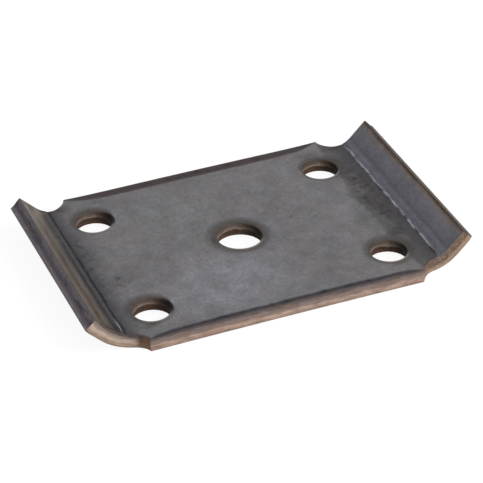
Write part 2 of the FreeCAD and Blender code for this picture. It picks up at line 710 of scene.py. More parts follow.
    def add_rolled_faces(self, mesh: FlatMesh, plan: np.ndarray, inward: np.ndarray,
                         outline: np.ndarray) -> None:
        """Adds the points of the upper face and then of the lower one.

        Args:
            mesh: the mesh in the making.
            plan: the plan's points.
            inward: for points near an edge the unit vector away from it, and else zero.
            outline: the numbers of the outline's points.
        """
        x, y = plan[:, 0], plan[:, 1]
        edge_gap = gap_to_loop(plan, plan[outline])
        hole_gap = np.min([hole.gap(x, y) for hole in self.holes], axis=0)
        at_tip = np.clip((abs(x) - (self.half_blank - self.tip_zone)) / self.tip_ease, 0, 1)
        under_round = self.burr_round + (self.tip_round - self.burr_round) * at_tip
        top = self.thickness - self.draw_in(x, y) - rounding(edge_gap, self.edge_round)
        top -= rounding(hole_gap, self.rim_round)
        top -= self.rim_sink * np.exp(-np.clip(hole_gap, 0, None) / self.rim_sink_reach)
        spread = np.clip(1 - hole_gap / self.ring_gaps[-2], 0, 1) * self.breakout
        upper = np.column_stack([plan, top])
        lower = np.column_stack([plan + inward * spread[:, None], rounding(edge_gap, under_round)])

        flat = np.zeros_like(plan)
        fade = np.clip(np.minimum(edge_gap, hole_gap) / self.relief_fade, 0, 1)
        soot = np.max([hole.soot(x, y) for hole in self.holes], axis=0)
        gaps = {"edge_gap": edge_gap, "hole_gap": np.clip(hole_gap, 0, None)}
        mesh.add_points(upper, {
            **gaps, "soot": soot, "drawn": self.past_draw_in(x, y),
            "press_mark": sum(line.rise * line.share(x, y) for line in self.press_lines),
            "wear_and_sheen": sum(line.share(x, y) ** self.wear_and_sheen_power for line in self.press_lines
                        if line.rise > self.wear_and_sheen_rise),
            "skin": np.column_stack([flat, -fade]), "hole_side": self.hole_side(upper)})
        mesh.add_points(lower, {
            **gaps, "soot": soot * self.under_soot, "cut_depth": 1.0,
            "skin": np.column_stack([flat, fade]), "hole_side": self.hole_side(lower)})

    def add_wall(self, mesh: FlatMesh, ring: np.ndarray, inward: np.ndarray, zone: Zone) -> None:
        """Adds the cut wall that joins the two faces along one loop.

        Args:
            mesh: the mesh in the making, which holds the two faces' points.
            ring: the numbers of the loop's points on the upper face.
            inward: the unit vectors into the steel at those points.
            zone: the wall's zone.
        """
        is_hole = zone is Zone.PUNCHED
        upper, lower = mesh.points[:2]
        tops, unders = upper[ring], lower[ring]
        rows = [ring]
        for share in np.arange(1, self.wall_rows) / self.wall_rows:
            place = tops + (unders - tops) * share
            place[:, :2] = tops[:, :2] + inward * self.wall_inset(share, is_hole)
            smooth = is_hole or share < self.smooth_depth
            weight = min(1.0, self.tear_rate * share, self.tear_rate * (1 - share))
            weight *= self.smooth_tear if smooth else 1.0
            rows.append(mesh.add_points(place, {
                "hole_gap" if is_hole else "edge_gap": 0.0, "cut_depth": share,
                "tear": np.column_stack([inward * weight, np.zeros(len(ring))]),
                "hole_side": self.hole_side(place)}))
        rows.append(ring + len(upper))
        after = np.roll(np.arange(len(ring)), -1)
        for above, below in zip(rows, rows[1:]):
            mesh.add_faces(list(zip(above, below, below[after], above[after])), zone)

    def wall_inset(self, share: float, is_hole: bool) -> float:
        """How far a cut wall stands back from its edge at a share of its depth.

        Args:
            share: 0 at the top and 1 at the underside.
            is_hole: whether the wall is a hole's.

        Returns:
            The inset, in millimetres.
        """
        if is_hole:
            ridge = self.ridge_height * math.exp(-((share - self.ridge_place) / self.ridge_spread) ** 2)
            past_start = max(0.0, (share - self.breakout_start) / (1 - self.breakout_start))
            return self.breakout * past_start - ridge
        torn = min(1.0, max(0.0, (share - self.fracture_start) / self.fracture_ease))
        return self.fracture_inset * torn * (self.fracture_end - share) * self.fracture_gain

    def blank(self) -> bpy.types.Object:
        """Cuts and punches the flat blank.

        Returns:
            The blank as an object, with the attributes that the press and the finishes read.
        """
        loops = [self.outline()] + [self.rim(hole) for hole in self.holes]
        plan, inward = self.plan(loops)
        kept, rings, triangles = self.triangulated(plan, [len(loop) for loop in loops])
        plan, inward = plan[kept], inward[kept]
        mesh = FlatMesh()
        self.add_rolled_faces(mesh, plan, inward, rings[0])
        mesh.add_faces(triangles.tolist(), Zone.ROLLED)
        mesh.add_faces((triangles[:, ::-1] + len(plan)).tolist(), Zone.ROLLED)
        self.add_wall(mesh, rings[0], inward[rings[0]], Zone.SHEARED)
        for ring in rings[1:]:
            self.add_wall(mesh, ring, inward[ring], Zone.PUNCHED)
        return mesh.made("tie_plate_blank")

    def press_tree(self, finishes: dict[Zone, bpy.types.Material]) -> Tree:
        """Builds the tree that presses a flat blank into the finished plate.

        Args:
            finishes: the material of each zone.

        Returns:
            The node tree.
        """
        tree = bpy.data.node_groups.new("press_forming", "GeometryNodeTree")
        tree.interface.new_socket("Geometry", in_out="INPUT", socket_type="NodeSocketGeometry")
        tree.interface.new_socket("Geometry", in_out="OUTPUT", socket_type="NodeSocketGeometry")
        for name in self.press_sizes():
            tree.interface.new_socket(name, in_out="INPUT", socket_type="NodeSocketFloat")
        entry = tree.nodes.new("NodeGroupInput")
        values = {socket.name: socket for socket in entry.outputs if socket.name}
        for name, kind in (("blank", "FLOAT_VECTOR"), ("skin", "FLOAT_VECTOR"),
                           ("tear", "FLOAT_VECTOR"), ("press_mark", "FLOAT")):
            values[name] = add_node(tree, "GeometryNodeInputNamedAttribute", {"Name": name},
                                    data_type=kind)

        # The rolled faces are gently wavy, and the torn cut is rough
        for name, scale, roughness in (("wave", 0.09, 0.45), ("torn", 0.8, 0.6)):
            values[name] = add_node(tree, "ShaderNodeTexNoise", {
                "Vector": values["blank"], "W": values["Seed"], "Scale": scale, "Detail": 3.0,
                "Roughness": roughness}, noise_dimensions="4D")
        add_steps(tree, values, [
            ("skin_push", "MULTIPLY", "wave", "Relief Height"),
            ("tear_push", "MULTIPLY", "torn", "Tear Depth"),
        ])
        flat = add_node(tree, "GeometryNodeInputPosition")
        for push, direction in (("skin_push", "skin"), ("tear_push", "tear")):
            offset = add_node(tree, "ShaderNodeVectorMath",
                              {0: values[direction], "Scale": values[push]}, operation="SCALE")
            flat = add_node(tree, "ShaderNodeVectorMath", {0: flat, 1: offset}, operation="ADD")

        parts = add_node(tree, "ShaderNodeSeparateXYZ", {0: flat}).node.outputs
        values.update({"x": parts["X"], "y": parts["Y"], "z": parts["Z"]})
        add_steps(tree, values, [
            ("marked", "MULTIPLY", "press_mark", "Line Depth"),
            ("z_marked", "ADD", "z", "marked"),
            # How far each point runs past the start of the bend, split into turn and straight leg
            ("side", "SIGN", "x"),
            ("distance", "ABSOLUTE", "x"),
            ("past", "SUBTRACT", "distance", "Bend Start"),
            ("arc", "MULTIPLY", "Bend Radius", "Bend Angle"),
            ("on_bend_low", "MAXIMUM", "past", 0.0),
            ("on_bend", "MINIMUM", "on_bend_low", "arc"),
            ("turn", "DIVIDE", "on_bend", "Bend Radius"),
            ("beyond", "SUBTRACT", "past", "arc"),
            ("leg", "MAXIMUM", "beyond", 0.0),
            ("sine", "SINE", "turn"),
            ("cosine", "COSINE", "turn"),
            ("depth", "SUBTRACT", "Thickness", "z_marked"),
            ("radius", "ADD", "Bend Radius", "depth"),
            ("straight", "MINIMUM", "distance", "Bend Start"),
            ("out_of_bend", "MULTIPLY", "radius", "sine"),
            ("out_of_leg", "MULTIPLY", "leg", "cosine"),
            ("reach", "ADD", "straight", "out_of_bend"),
            ("new_distance", "ADD", "reach", "out_of_leg"),
            ("new_x", "MULTIPLY", "new_distance", "side"),
            ("centre_height", "ADD", "Thickness", "Bend Radius"),
            ("below_centre", "MULTIPLY", "radius", "cosine"),
            ("bent_height", "SUBTRACT", "centre_height", "below_centre"),
            ("up_leg", "MULTIPLY", "leg", "sine"),
            ("height", "ADD", "bent_height", "up_leg"),
            # The plate bows up a little between its bends
            ("bow_share", "DIVIDE", "straight", "Bend Start"),
            ("bow_square", "MULTIPLY", "bow_share", "bow_share"),
            ("bow_left", "SUBTRACT", 1.0, "bow_square"),
            ("bow", "MULTIPLY", "bow_left", "Camber"),
            ("new_z", "ADD", "height", "bow"),
        ])
        pressed = add_node(tree, "ShaderNodeCombineXYZ",
                           {"X": values["new_x"], "Y": values["y"], "Z": values["new_z"]})
        shape = add_node(tree, "GeometryNodeSetPosition",
                         {"Geometry": values["Geometry"], "Position": pressed})
        shape = add_node(tree, "GeometryNodeRealizeInstances", {"Geometry": shape})
        zone = add_node(tree, "GeometryNodeInputNamedAttribute", {"Name": "zone"}, data_type="INT")
        for kind, finish in finishes.items():
            chosen = add_node(tree, "FunctionNodeCompare", {2: zone, 3: int(kind)},
                              data_type="INT", operation="EQUAL")
            shape = add_node(tree, "GeometryNodeSetMaterial",
                             {"Geometry": shape, "Selection": chosen, "Material": finish})
        leave = tree.nodes.new("NodeGroupOutput")
        tree.links.new(shape, leave.inputs[0])
        return tree

    def press_sizes(self) -> dict[str, float]:
        """The sizes that the pressing works with.

        Returns:
            The pressing's named inputs, in metres, radians or plain numbers.
        """
        return {
            "Thickness": self.thickness * MM,
            "Bend Start": self.bend_start * MM,
            "Bend Radius": self.bend_radius * MM,
            "Bend Angle": math.radians(self.bend_angle),
            "Camber": self.camber * MM,
            "Line Depth": self.line_depth * MM,
            "Relief Height": self.relief_height * MM,
            "Tear Depth": self.tear_depth * MM,
            "Seed": self.relief_seed,
        }

    def build(self, finishes: dict[Zone, bpy.types.Material]) -> bpy.types.Object:
        """Makes the plate and puts it in the place of the plain solid.

        Args:
            finishes: the material of each zone.

        Returns:
            The finished plate.
        """
        blank = self.blank()
        for zone in Zone:
            blank.data.materials.append(finishes[zone])
        tree = self.press_tree(finishes)
        press = blank.modifiers.new("press_forming", "NODES")
        press.node_group = tree
        sizes = self.press_sizes()
        for item in tree.interface.items_tree:
            if item.in_out == "INPUT" and item.name in sizes:
                press[item.identifier] = sizes[item.name]
        bpy.context.view_layer.update()
        graph = bpy.context.evaluated_depsgraph_get()
        mesh = bpy.data.meshes.new_from_object(blank.evaluated_get(graph))
        mesh.name = "tie_plate_pressed"
        bpy.data.objects.remove(blank)
        plate = add_object("tie_plate_pressed", mesh)
        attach(plate, BODY)
        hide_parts(NODE)
        triangles = sum(len(face.vertices) - 2 for face in mesh.polygons)
        LOG.info("%s: %d triangles, finishes %s", plate.name, triangles,
                 [material.name for material in mesh.materials])
        return plate


def either(tree: Tree, share: Socket, first: Socket, second: Socket | tuple) -> Socket:
    """Goes from one colour to another.

    Args:
        tree: the node tree that gets the node.
        share: 0 for the first colour and 1 for the second.
        first: the first colour.
        second: the second colour, as a socket or in linear values.

    Returns:
        The mixed colour.
    """
    return add_node(tree, "ShaderNodeMix", {MIX_FACTOR: share, MIX_UNDER: first, MIX_OVER: second},
                    output=MIX_RESULT, data_type="RGBA")


def painted(tree: Tree, colour: Socket, coats: list[tuple[Socket, str]]) -> Socket:
    """Lays coats of colour over one another.

    Args:
        tree: the node tree that gets the nodes.
        colour: the colour underneath.
        coats: for each coat, how much it covers and its hex colour.

    Returns:
        The colour that shows.
    """
    for cover, coat in coats:
        colour = either(tree, cover, colour, linear(coat))
    return colour


def graded(tree: Tree, place: Socket, stops: Bands) -> Socket:
    """Runs through a row of colours along a value.

    Args:
        tree: the node tree that gets the nodes.
        place: the value.
        stops: the values, lowest first, with the hex colour at each.

    Returns:
        The colour at the value.
    """
    first, last = stops[0][0], stops[-1][0]
    share = add_node(tree, "ShaderNodeMapRange", {
        "Value": place, "From Min": first, "From Max": last})
    ramp = add_node(tree, "ShaderNodeValToRGB", {"Fac": share}).node
    elements = ramp.color_ramp.elements
    for value, _ in stops[1:-1]:
        elements.new((value - first) / (last - first))
    for element, (_, colour) in zip(elements, stops):
        element.color = linear(colour)
    return ramp.outputs["Color"]


def split_vector(tree: Tree, name: str) -> tuple[Socket, bpy.types.NodeOutputs]:
    """Reads a vector attribute of the mesh in a material.

    Args:
        tree: the material's node tree.
        name: the attribute's name.

    Returns:
        The vector, and its parts by the names X, Y and Z.
    """
    vector = add_node(tree, "ShaderNodeAttribute", output="Vector", attribute_name=name)
    return vector, add_node(tree, "ShaderNodeSeparateXYZ", {0: vector}).node.outputs


@dataclass(frozen=True)
class Grain:
    """A pattern of soft spots: their size along, across and through the strip, in millimetres."""

    along: float
    across: float
    deep: float
    detail: float = 3.0
    lowest: float = 0.35
    highest: float = 0.65


@dataclass(frozen=True)
class Smudge:
    """A patch of colour on the upper skin, which is a stain or, where noted, painted light: place, half
    sizes, colour, strength, turn in degrees, and core.

    The strength may be the name of a grain, which then breaks the patch up. The core is the
    share of the way out that keeps its full strength.
    """

    x: float
    y: float
    reach_x: float
    reach_y: float
    colour: str
    strength: float | str
    turn: float = 0.0
    core: float = 0.0
    # How far a stain's border wanders, in millimetres and at most as a share of its half size
    wander_reach: ClassVar[float] = 4.0
    wander_most: ClassVar[float] = 1.1

    def cover(self, tree: Tree, values: Values,
              top: float) -> Socket:
        """Works out how much the patch covers.

        Args:
            tree: the node tree that gets the nodes.
            values: the named values, with the place on the blank and how edges wander.
            top: the height of the upper skin on the blank.

        Returns:
            The share covered, which is zero outside the patch and on the underside.
        """
        near = add_node(tree, "ShaderNodeMapping", {
            "Vector": values["place"], "Location": (self.x, self.y, top),
            "Rotation": (0.0, 0.0, math.radians(self.turn)),
            "Scale": (self.reach_x, self.reach_y, top / 2)}, vector_type="TEXTURE")
        rough_x, rough_y = (min(self.wander_most, self.wander_reach / reach)
                            for reach in (self.reach_x, self.reach_y))
        near = add_node(tree, "ShaderNodeVectorMath", {
            0: values["wander"], 1: (rough_x, rough_y, 0.0), 2: near}, operation="MULTIPLY_ADD")
        away = add_node(tree, "ShaderNodeVectorMath", {0: near}, output="Value", operation="LENGTH")
        return add_node(tree, "ShaderNodeMapRange", {
            "Value": away, "From Min": 1.0, "From Max": self.core, "To Min": 0.0,
            "To Max": values.get(self.strength, self.strength)}, interpolation_type="SMOOTHSTEP")


@dataclass(frozen=True)
class SteelFinish:
    """What the finishes of one piece of hot-rolled steel have in common."""

    name: str = "steel"
    metallic: float = 0.4
    specular: float = 0.12
    roughness: tuple[float, float] = (0.42, 0.6)
    bump_height: float = 0.03
    # The grain of mill scale is far finer than a millimetre, and is drawn coarse enough to show
    grains: tuple[tuple[str, Grain], ...] = ()
    reads: tuple[str, ...] = ()

    def values(self, tree: Tree) -> Values:
        """Adds the nodes that read the plate's attributes, and the grains.

        Args:
            tree: the material's node tree.

        Returns:
            The attributes, the place on the blank and the grains, by name.
        """
        found = {name: add_node(tree, "ShaderNodeAttribute", output="Fac", attribute_name=name)
                 for name in self.reads}
        place, parts = split_vector(tree, "blank")
        found.update({"place": place, "x": parts["X"], "y": parts["Y"], "z": parts["Z"]})
        for seed, (name, grain) in enumerate(self.grains):
            spots = add_node(tree, "ShaderNodeMapping", {
                "Vector": place,
                "Scale": (1 / grain.along, 1 / grain.across, 1 / grain.deep)})
            noise = add_node(tree, "ShaderNodeTexNoise", {
                "Vector": spots, "W": 3.7 * seed, "Scale": 1.0, "Detail": grain.detail,
                "Roughness": 0.55}, noise_dimensions="4D")
            found[name] = add_node(tree, "ShaderNodeMapRange", {
                "Value": noise, "From Min": grain.lowest, "From Max": grain.highest})
        wander = add_node(tree, "ShaderNodeTexNoise", {
            "Vector": place, "Scale": 0.4, "Detail": 4.0, "Roughness": 0.65}, output="Color")
        found["wander"] = add_node(tree, "ShaderNodeVectorMath", {
            0: wander, 1: (0.5, 0.5, 0.5)}, operation="SUBTRACT")
        return found

    def colour(self, tree: Tree,
               values: Values) -> Socket:
        """Builds the colour. Each finish has its own.

        Args:
            tree: the material's node tree.
            values: the named values, to which this may add.

        Returns:
            The colour.
        """
        raise NotImplementedError

    def material(self) -> bpy.types.Material:
        """Builds the material.

        Returns:
            The material.
        """
        made, tree = add_material(self.name)
        values = self.values(tree)
        colour = self.colour(tree, values)
        shine = add_node(tree, "ShaderNodeMapRange", {
            "Value": values["mottle"], "To Min": self.roughness[0], "To Max": self.roughness[1]})
        dents = add_node(tree, "ShaderNodeBump", {
            "Height": values["pits"], "Distance": self.bump_height * MM})
        shader = add_node(tree, "ShaderNodeBsdfPrincipled", {
            "Base Color": colour, "Metallic": self.metallic, "Roughness": shine, "Normal": dents,
            "Specular IOR Level": self.specular})
        leave = tree.nodes.new("ShaderNodeOutputMaterial")
        tree.links.new(shader, leave.inputs["Surface"])
        LOG.info("%s: %d nodes", self.name, len(tree.nodes))
        return made


@dataclass(frozen=True)
class MillScale(SteelFinish):
    """Hot-rolled steel with its mill scale on, which gives a dull blue-grey skin with warm clouds."""

    name: str = "hot_rolled_mill_scale"
    skin_height: float = 5.5
    # Where the flanges' own colours start, and how far on they are full, along the strip
    bend_margin: float = 53.5
    bend_ease: float = 3.0
    reads: tuple[str, ...] = ("edge_gap", "hole_gap", "cut_depth", "wear_and_sheen", "soot", "drawn")
    grains: tuple[tuple[str, Grain], ...] = (
        ("clouds", Grain(24, 20, 40)),
        ("tints", Grain(9, 11, 40)),
        ("rosy", Grain(10, 9, 40, 3.0, 0.46, 0.62)),
        ("mottle", Grain(6, 6, 12, 7.0, 0.34, 0.66)),
        ("pits", Grain(1.0, 1.0, 4, 4.0)),
        ("streaks", Grain(1.1, 12, 40, 4.0)),
        ("specks", Grain(2.6, 2.2, 8, 3.0, 0.47, 0.74)),
        ("broken", Grain(1.2, 3.5, 40, 3.0, 0.42, 0.56)),
        ("rust", Grain(9, 9, 40, 5.0, 0.52, 0.66)),
    )
    # Large areas of tone with a painted sheen among them, and the sooty margins beside the bends
    areas: tuple[Smudge, ...] = (
        # Painted sheen: the broad lighter area over the front middle of the top
        Smudge(-14, -26, 34, 28, "#818087", 0.95, 10, 0.2),
        Smudge(-18, 22, 26, 20, "#757677", 0.8),
        Smudge(42, 0, 9, 17, "#79787b", 0.6),
        Smudge(-36, 40, 20, 9, "#676568", 0.7),
        Smudge(-52, 27, 8, 8, "#625c5d", 0.5),
        Smudge(-58, 0, 11, 70, "#545154", 0.85, 0, 0.4),
        Smudge(59, 2, 10.4, 80, "#484445", 0.95, 0, 0.84),
        Smudge(46, -10, 5, 16, "#605c5d", 0.5),
        Smudge(50, 6, 3.2, 9, "#504c4c", 0.7, 0, 0.4),
        Smudge(51, -14, 3.5, 8, "#565353", 0.6, 0, 0.4),
    )
    # Sooty and speckled margins, scuffs, oil at the notches and rims, painted shade at the back right
    # notch, and painted highlights beside three holes
    stains_and_painted_light: tuple[Smudge, ...] = (
        Smudge(53.4, 17, 2.8, 3.6, "#3f3b3b", 0.8),
        Smudge(54.8, -4, 2.0, 12, "#434041", 0.65),
        Smudge(52.5, -22.5, 6.5, 3.0, "#454142", 0.7),
        Smudge(53, -33, 4, 8, "#464243", 0.65),
        Smudge(52.5, 30, 4, 9, "#484443", 0.6),
        Smudge(45, 39, 9, 3.0, "#4b4746", 0.5),
        Smudge(-48.8, -10.8, 4.2, 5.0, "#5f5b5d", 0.6),
        Smudge(-48.6, -10.8, 4.4, 6.0, "#3a3739", "specks", 0, 0.5),
        Smudge(-56, 2, 3.2, 42, "#39363a", "specks", 0, 0.3),
        Smudge(54, 2, 5.5, 40, "#353233", "specks", 0, 0.4),
        Smudge(0, 45.2, 48, 2.0, "#241a1a", "specks", 0, 0.5),
        Smudge(-2, -46.0, 46, 1.2, "#252327", "specks", 0, 0.4),
        Smudge(22.5, 3, 2.4, 1.1, "#595657", 0.7, 20),
        Smudge(10, 17, 2.4, 1.3, "#605e60", 0.6, 30),
        Smudge(-55, 41.5, 7, 3.6, "#483c3a", 0.85),
        # Painted shade with oil in the back right corner, where the flange meets the plate
        Smudge(57, 40.5, 7, 3.2, "#443a36", 0.85),
        Smudge(-47.5, -39.6, 6, 2.6, "#483d38", 0.8, 15),
        Smudge(1.5, -11.2, 7, 1.6, "#5a483f", 0.6),
        Smudge(-9.7, -2.0, 1.7, 5.5, "#4a3f38", 0.7),
        Smudge(46, -40.3, 5, 1.6, "#5c4f47", 0.6, 8, 0.3),
        Smudge(-46, 21.2, 6, 1.7, "#594942", 0.7),
        # Painted highlights: glints on the right rims of the two left holes and on the left rim of the
        # back right hole
        Smudge(-37.0, 29.5, 1.2, 4.5, "#86828a", 0.8),
        Smudge(-37.0, -31, 1.2, 4.5, "#86848a", 0.8),
        Smudge(37.2, 29, 1.0, 4.0, "#827a72", 0.75),
        Smudge(-25, -45.7, 3.4, 0.9, "#2a282d", 0.85),
        Smudge(14, 45.2, 2.4, 1.8, "#2a2020", 0.85),
        Smudge(26.5, 45, 2.4, 1.6, "#2a2524", 0.8),
        # Heat tints, oil and rust that run in streaks up the left flange, with painted shade in its press
        # lines' grooves and a painted highlight beside them
        Smudge(-62.2, 20, 1.4, 13, "#464941", 0.65, -3),
        # Painted shade: the near-black streaks at -62.0, -58.9 and -58.2 lie in the grooves of the press
        # lines
        Smudge(-62.0, -14, 0.8, 22, "#1f1c20", 0.8, 0, 0.5),
        Smudge(-58.9, -20.5, 0.8, 2.6, "#120e16", 0.9, 0, 0.3),
        # Painted highlight beside the grooves
        Smudge(-59.4, -36.5, 0.6, 5, "#8b8994", 0.8, 0, 0.4),
        Smudge(-58.2, -37.5, 0.5, 5, "#23212e", 0.9, 0, 0.4),
        Smudge(-60.9, -39.0, 1.5, 4.5, "#21251f", 0.85, 0, 0.4),
        Smudge(-64.5, -41.2, 2.6, 1.5, "#332b25", 0.8, 0, 0.4),
        Smudge(-68.2, -15.5, 1.5, 4.5, "#54402f", 0.85, -15, 0.3),
        Smudge(-67.3, -25.5, 1.9, 8.0, "#4f4133", 0.75, -12),
        Smudge(-68.0, -34.5, 1.8, 5.0, "#3c2f22", 0.8, -12),
        Smudge(-65.3, -10.5, 1.9, 8, "#6c6263", 0.7, -15),
        Smudge(-70.8, -27, 1.9, 8, "#6e6468", 0.7, -12),
        Smudge(-67.6, 33.5, 2.8, 6.5, "#776552", 0.75, -28),
        Smudge(-64.2, 38.4, 3.8, 2.6, "#7b6b59", 0.75, 10),
        Smudge(-71.2, 36, 2.0, 6, "#72656a", 0.7, -15),
        Smudge(-63.0, 30.5, 1.0, 4.5, "#43322d", 0.85, -10, 0.3),
        Smudge(-68.0, 24, 2.2, 6, "#5e5239", 0.7, -22),
        Smudge(-64.6, 15, 2.0, 6.5, "#5c5f4c", 0.75, -20),
        Smudge(-67.8, 9.5, 2.0, 5.5, "#57563a", 0.7, -22),
        Smudge(-70.9, 13, 1.7, 7, "#676067", 0.7, -10),
        Smudge(-67.6, 1, 1.2, 4, "#3f3730", 0.8, -12, 0.3),
        # Painted shade in the slit beside the right flange's lip, and a pale spot on the lip that is
        # partly worn and partly a painted highlight
        Smudge(59.6, 7, 0.45, 6.5, "#17151b", 0.9),
        Smudge(59.1, -38, 0.5, 6.0, "#232127", 0.75),
        Smudge(60.0, -5, 0.5, 4.5, "#9b9ba4", 0.8),
        Smudge(60.6, 36.5, 0.9, 3.2, "#33383b", 0.75),
    )
    # The near-black stops at 58.95 and from 61.5 to 62.0 lie in the grooves of the press lines: painted
    # shade
    left_flange: Bands = (
        (53.5, "#5e5a5c"), (56.3, "#514f52"), (57.8, "#474549"), (58.45, "#302f34"),
        (58.95, "#151318"), (59.4, "#28272b"), (60.1, "#434347"), (60.9, "#403f42"),
        (61.5, "#2e2c2f"), (62.0, "#302d2e"), (62.6, "#3d3834"), (63.6, "#4d4743"),
        (64.6, "#5b5550"), (66.3, "#5f5751"), (67.4, "#4f443b"), (68.6, "#504438"),
        (69.6, "#5b5148"), (71.0, "#665e59"), (72.8, "#66605d"),
    )
    right_flange: Bands = (
        (53.5, "#524f50"), (57.0, "#4d4b4d"), (59.1, "#48464a"), (59.6, "#3f3d42"),
        (60.3, "#605e66"), (61.5, "#5e5d67"), (62.4, "#6a6972"), (63.8, "#5b5a62"),
        (65.5, "#64636b"), (69.6, "#6b6a70"), (70.8, "#746a6a"), (71.6, "#65584f"),
        (72.2, "#4a3a30"), (72.8, "#33261e"),
    )
    # Dark bands along the drawn-in long edges, by millimetres past the line where they sink
    front_edge: Bands = (
        (0.0, "#3a393e"), (1.0, "#37353a"), (1.5, "#453e40"), (1.9, "#554c4b"), (2.3, "#635957"),
    )
    back_edge: Bands = (
        (0.0, "#403634"), (1.5, "#3a2f2f"), (3.4, "#382d2c"), (4.3, "#403633"), (5.0, "#574a42"),
    )

    def smudged(self, tree: Tree, values: Values, colour: Socket,
                smudges: tuple[Smudge, ...]) -> Socket:
        """Lays smudges over a colour.

        Args:
            tree: the material's node tree.
            values: the named values.
            colour: the colour underneath.
            smudges: the smudges, the lowest first.

        Returns:
            The colour that shows.
        """
        for smudge in smudges:
            cover = smudge.cover(tree, values, self.skin_height)
            colour = painted(tree, colour, [(cover, smudge.colour)])
        return colour

    def colour(self, tree: Tree,
               values: Values) -> Socket:
        """Builds the scale's colour from clouds, stains, press lines and handling wear, with painted shade
        and painted highlights at the holes' rims and press lines and a painted sheen.

        Args:
            tree: the material's node tree.
            values: the named values, to which this adds.

        Returns:
            The colour.
        """
        add_steps(tree, values, [
            ("upper", "SUBTRACT", 1.0, "cut_depth"),
            ("clouds_part", "MULTIPLY", "clouds", 0.6),
            ("tints_part", "MULTIPLY", "tints", 0.3),
            ("rosy_part", "MULTIPLY", "rosy", 0.32),
        ])
        ground = add_node(tree, "ShaderNodeRGB")
        ground.default_value = linear("#747072")
        colour = painted(tree, ground, [(values["clouds_part"], "#6d6c6f")])
        colour = self.smudged(tree, values, colour, self.areas)
        colour = painted(tree, colour, [
            (values["tints_part"], "#6b7374"),
            (values["rosy_part"], "#797073"),
        ])

        # The flanges' inner sides, whose colour runs in lines along the bends
        add_steps(tree, values, [
            ("line_sway", "MULTIPLY_ADD", "streaks", 0.5, -0.25),
            ("break_sway", "MULTIPLY_ADD", "broken", 0.3, "line_sway"),
            ("s_plain", "ABSOLUTE", "x"),
            ("s", "ADD", "s_plain", "break_sway"),
            ("is_right", "GREATER_THAN", "x", 0.0),
            ("is_back", "GREATER_THAN", "y", 0.0),
            ("past_margin", "SUBTRACT", "s_plain", self.bend_margin),
            ("bend_share_part", "DIVIDE", "past_margin", self.bend_ease),
            ("bend_part", "MULTIPLY", "bend_share_part", "upper"),
        ])
        flange = either(tree, values["is_right"], graded(tree, values["s"], self.left_flange),
                        graded(tree, values["s"], self.right_flange))
        colour = either(tree, values["bend_part"], colour, flange)
        # The drawn-in long edges
        add_steps(tree, values, [
            ("drawn_ragged", "MULTIPLY_ADD", "tints", 0.3, -0.15),
            ("drawn_swayed", "ADD", "drawn", "drawn_ragged"),
            ("drawn_share_part", "MULTIPLY_ADD", "drawn_swayed", 1.1, 0.5),
            ("drawn_part", "MULTIPLY", "drawn_share_part", 0.95),
        ])
        edges = either(tree, values["is_back"],
                       graded(tree, values["drawn_swayed"], self.front_edge),
                       graded(tree, values["drawn_swayed"], self.back_edge))
        colour = either(tree, values["drawn_part"], colour, edges)
        add_steps(tree, values, [
            ("soot_ragged", "MULTIPLY_ADD", "mottle", 0.5, -0.25),
            ("soot_sum", "ADD", "soot", "soot_ragged"),
            ("sooty_part", "MULTIPLY", "soot_sum", 2.0),
            ("soot_soft", "MULTIPLY", "sooty_part", "soot"),
            ("soot_wide", "POWER", "soot_soft", 0.5),
            ("soot_part", "MULTIPLY", "soot_wide", 0.92),
        ])
        colour = painted(tree, colour, [(values["soot_part"], "#474342")])
        colour = self.smudged(tree, values, colour, self.stains_and_painted_light)
        # The scale's fine mottle lightens and darkens whatever tone lies under it
        add_steps(tree, values, [
            ("mottle_gain", "MULTIPLY_ADD", "mottle", 0.4, 0.88),
            ("pit_gain", "MULTIPLY_ADD", "pits", -0.26, 1.13),
            ("gain", "MULTIPLY", "mottle_gain", "pit_gain"),
        ])
        colour = add_node(tree, "ShaderNodeHueSaturation", {"Value": values["gain"], "Color": colour})

        # Dark rims of the holes with painted shade on the right rims of the left holes and a painted
        # highlight on their front rims, dark edges, rust underneath, and worn lines that are partly a
        # painted highlight
        _, side = split_vector(tree, "hole_side")
        values.update({"side_x": side["X"], "side_y": side["Y"]})
        add_steps(tree, values, [
            # The raised press lip is worn pale, partly as a painted highlight where it catches the light
            ("wear_and_sheen_broken", "MULTIPLY", "wear_and_sheen", "broken"),
            ("wear_and_sheen_part", "MULTIPLY", "wear_and_sheen_broken", 0.9),
            ("rim_share", "DIVIDE", "hole_gap", 0.9),
            ("rim_dark_part", "SUBTRACT", 1.0, "rim_share"),
            ("rim_part", "MULTIPLY", "rim_dark_part", 0.7),
            # Painted shade: near black on the right rims of the left holes
            ("shade_side_part", "MULTIPLY_ADD", "side_x", 3.0, -1.9),
            ("shade_near_part", "MULTIPLY_ADD", "hole_gap", -2.2, 2.6),
            ("left_hand_part", "MULTIPLY_ADD", "x", -0.04, -0.2),
            ("shade_rim", "MULTIPLY", "shade_side_part", "shade_near_part"),
            ("shade_here", "MULTIPLY", "shade_rim", "left_hand_part"),
            ("painted_shade_part", "MULTIPLY", "shade_here", 0.95),
            # Painted highlight: a pale band along the front rims of the holes
            ("front_side_part", "MULTIPLY_ADD", "side_y", -2.2, -1.1),
            ("front_near_part", "MULTIPLY_ADD", "hole_gap", -1.1, 1.45),
            ("front_rim_highlight_part", "MULTIPLY", "front_side_part", "front_near_part"),
            ("edge_share", "DIVIDE", "edge_gap", 0.7),
            ("edge_dark_part", "SUBTRACT", 1.0, "edge_share"),
            ("edge_part", "MULTIPLY", "edge_dark_part", 0.6),
            ("rust_under", "MULTIPLY", "rust", "cut_depth"),
            ("rust_part", "MULTIPLY", "rust_under", 0.45),
        ])
